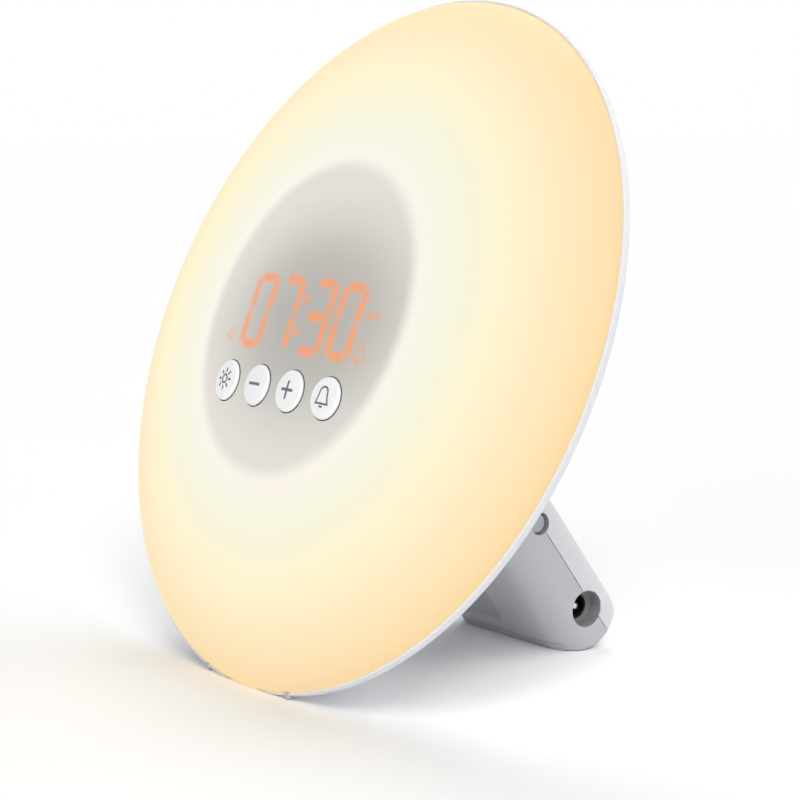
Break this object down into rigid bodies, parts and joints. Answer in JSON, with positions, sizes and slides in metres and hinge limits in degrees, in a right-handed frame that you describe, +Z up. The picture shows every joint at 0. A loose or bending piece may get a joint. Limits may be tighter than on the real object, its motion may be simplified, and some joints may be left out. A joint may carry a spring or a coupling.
{
  "type": "sunrise alarm clock",
  "caption": "Bedside sunrise clock: a domed glowing disc with display and front buttons, propped on a hollow slab leg with power inlet, side buttons and speaker",
  "frame": {"origin": "on the standing surface under the middle of the overall box", "axes": "+X to the right seen from the front, +Y to the rear, +Z up"},
  "size_m": [0.19, 0.1086, 0.1752],
  "materials": {
    "milky_dome": "milky diffusing plastic",
    "white_shell": "fine satin white",
    "leg_grey": "fine satin light grey",
    "button_white": "satin white",
    "rubber_grey": "soft matt",
    "reflector_white": "bright white",
    "board_green": "solder mask",
    "part_black": "moulded black",
    "part_ivory": "moulded ivory",
    "led_white": "LED package",
    "led_amber": "LED package",
    "steel": "zinc plated",
    "contact": "nickel plated",
    "can_aluminium": "sleeved can",
    "speaker_black": "paper and plastic",
    "magnet_grey": "ferrite",
    "lead_red": "insulated wire",
    "lead_blue": "insulated wire",
    "ribbon_grey": "flat cable"
  },
  "bodies": {
    "root": {"diffuser": "milky_dome", "back_shell": "white_shell", "front_feet": "rubber_grey", "reflector": "reflector_white", "reflector_screws": "steel", "led_board": "board_green", "leds_white": "led_white", "leds_amber": "led_amber", "led_lead": "lead_red", "display_housing": "part_black", "display_board": "board_green", "display_screws": "steel", "digit_frame": "reflector_white", "digit_leds": "led_amber", "front_switches": "part_black", "main_board": "board_green", "main_chips": "part_black", "main_capacitors": "can_aluminium", "main_connectors": "part_ivory", "board_screws": "steel", "ribbon_cable": "ribbon_grey", "stand_screws": "steel", "leg_front_shell": "leg_grey", "leg_rear_cover": "leg_grey", "leg_screws": "steel", "foot_strip": "rubber_grey", "dc_jack_body": "part_black", "dc_jack_pin": "contact", "jack_board": "board_green", "side_switches": "part_black", "side_boards": "board_green", "speaker_gasket": "speaker_black", "speaker_basket": "speaker_black", "speaker_cone": "speaker_black", "speaker_magnet": "magnet_grey", "speaker_screws": "steel", "power_lead": "lead_red", "speaker_lead": "lead_blue"},
    "light_button": {"button_light": "button_white", "plunger_light": "part_ivory"},
    "minus_button": {"button_minus": "button_white", "plunger_minus": "part_ivory"},
    "plus_button": {"button_plus": "button_white", "plunger_plus": "part_ivory"},
    "alarm_button": {"button_alarm": "button_white", "plunger_alarm": "part_ivory"},
    "right_side_button": {"side_button_right": "leg_grey", "plunger_right": "part_ivory"},
    "left_side_button": {"side_button_left": "leg_grey", "plunger_left": "part_ivory"}
  },
  "joints": [
    {"name": "press_light", "type": "slide", "parent": "root", "child": "light_button", "axis": [0, 0.9245, -0.3811], "range_m": [0, 0.0006], "stiffness_N_per_m": 1200},
    {"name": "press_minus", "type": "slide", "parent": "root", "child": "minus_button", "axis": [0, 0.9245, -0.3811], "range_m": [0, 0.0006], "stiffness_N_per_m": 1200},
    {"name": "press_plus", "type": "slide", "parent": "root", "child": "plus_button", "axis": [0, 0.9245, -0.3811], "range_m": [0, 0.0006], "stiffness_N_per_m": 1200},
    {"name": "press_alarm", "type": "slide", "parent": "root", "child": "alarm_button", "axis": [0, 0.9245, -0.3811], "range_m": [0, 0.0006], "stiffness_N_per_m": 1200},
    {"name": "press_side_right", "type": "slide", "parent": "root", "child": "right_side_button", "axis": [-1, 0, 0], "range_m": [0, 0.0006], "stiffness_N_per_m": 1200},
    {"name": "press_side_left", "type": "slide", "parent": "root", "child": "left_side_button", "axis": [1, 0, 0], "range_m": [0, 0.0006], "stiffness_N_per_m": 1200}
  ]
}
